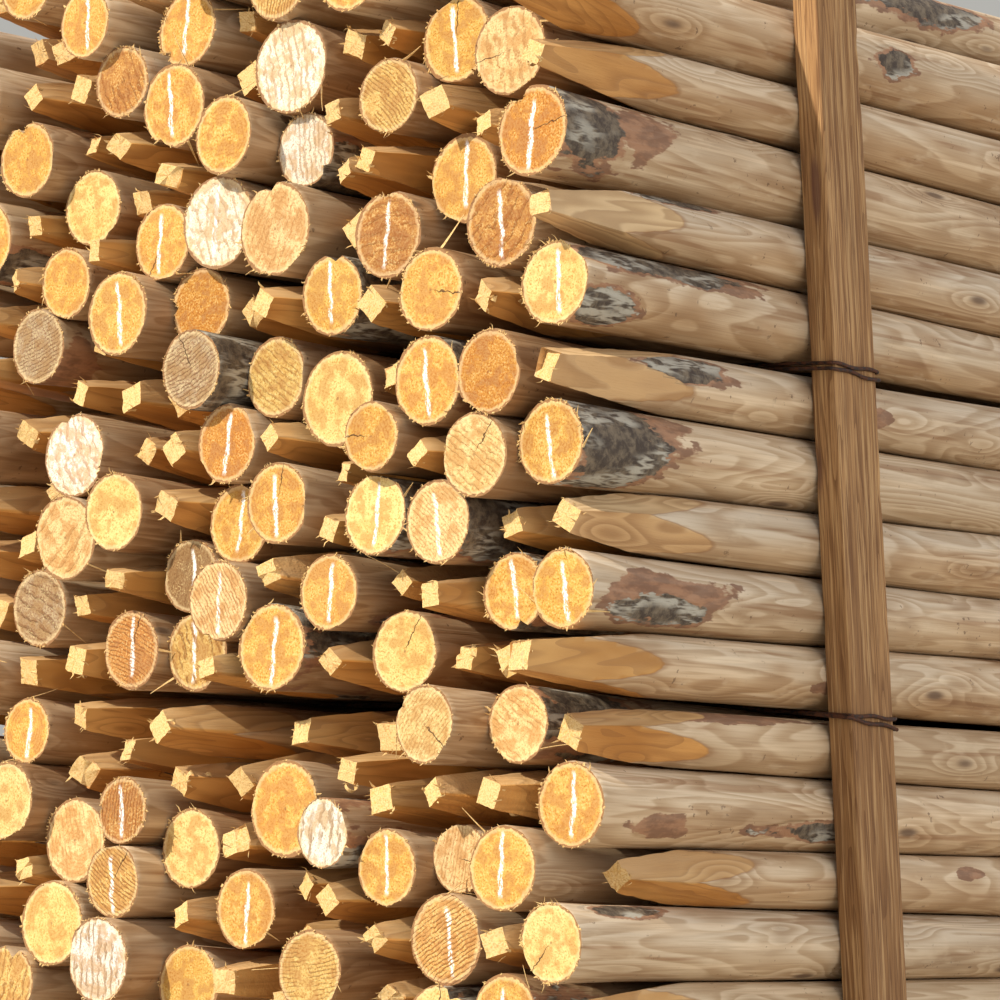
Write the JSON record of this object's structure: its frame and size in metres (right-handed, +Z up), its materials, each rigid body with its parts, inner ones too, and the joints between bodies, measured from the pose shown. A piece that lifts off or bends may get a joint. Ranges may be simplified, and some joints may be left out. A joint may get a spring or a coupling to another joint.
{
  "type": "stack of round timber posts",
  "caption": "Tied stack of peeled round timber posts with hewn points, laid head to tail between upright battens bound by wire.",
  "frame": {"origin": "centre of the stack's bounding box at the ground", "axes": "+X along the posts from the front ends to the rear ends, +Y from the near long side to the far long side, +Z up from the ground"},
  "size_m": [2.2055, 1.2478, 1.7276],
  "materials": {
    "post_wood": "rough peeled and sawn",
    "batten_wood": "rough sawn",
    "tie_wire": "dark annealed and dull"
  },
  "bodies": {
    "root": {"batten_far_front": "batten_wood", "batten_far_rear": "batten_wood", "batten_near_front": "batten_wood", "batten_near_rear": "batten_wood", "post_layer_01": "post_wood", "post_layer_02": "post_wood", "post_layer_03": "post_wood", "post_layer_04": "post_wood", "post_layer_05": "post_wood", "post_layer_06": "post_wood", "post_layer_07": "post_wood", "post_layer_08": "post_wood", "post_layer_09": "post_wood", "post_layer_10": "post_wood", "post_layer_11": "post_wood", "post_layer_12": "post_wood", "post_layer_13": "post_wood", "post_layer_14": "post_wood", "post_layer_15": "post_wood", "post_layer_16": "post_wood", "post_layer_17": "post_wood", "post_layer_18": "post_wood", "post_layer_19": "post_wood", "tie_lower_front": "tie_wire", "tie_lower_rear": "tie_wire", "tie_upper_front": "tie_wire", "tie_upper_rear": "tie_wire"}
  },
  "joints": []
}
